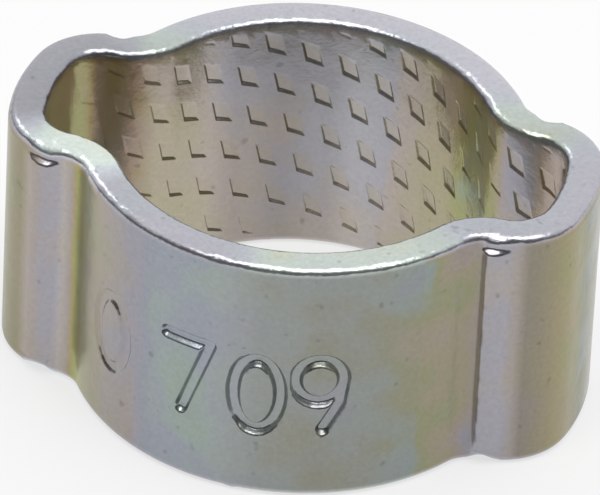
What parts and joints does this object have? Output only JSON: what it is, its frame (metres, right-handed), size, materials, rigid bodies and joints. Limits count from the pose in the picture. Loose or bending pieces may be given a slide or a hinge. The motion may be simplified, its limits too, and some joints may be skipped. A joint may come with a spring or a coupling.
{
  "type": "ear hose clamp",
  "caption": "One-piece steel band clamp with opposite pinch ears and a dimpled grip inside, crimped round a hose on a fitting.",
  "frame": {"origin": "middle of the lower rim, on the bore axis, where the clamp stands", "axes": "+Z along the bore axis, +X along the line through the two ears"},
  "size_m": [0.014, 0.0108, 0.0066],
  "materials": {
    "plated_steel": "zinc-plated mild steel with a thin, faintly coloured passivation, satin"
  },
  "bodies": {
    "root": {"clamp_band": "plated_steel"}
  },
  "joints": []
}
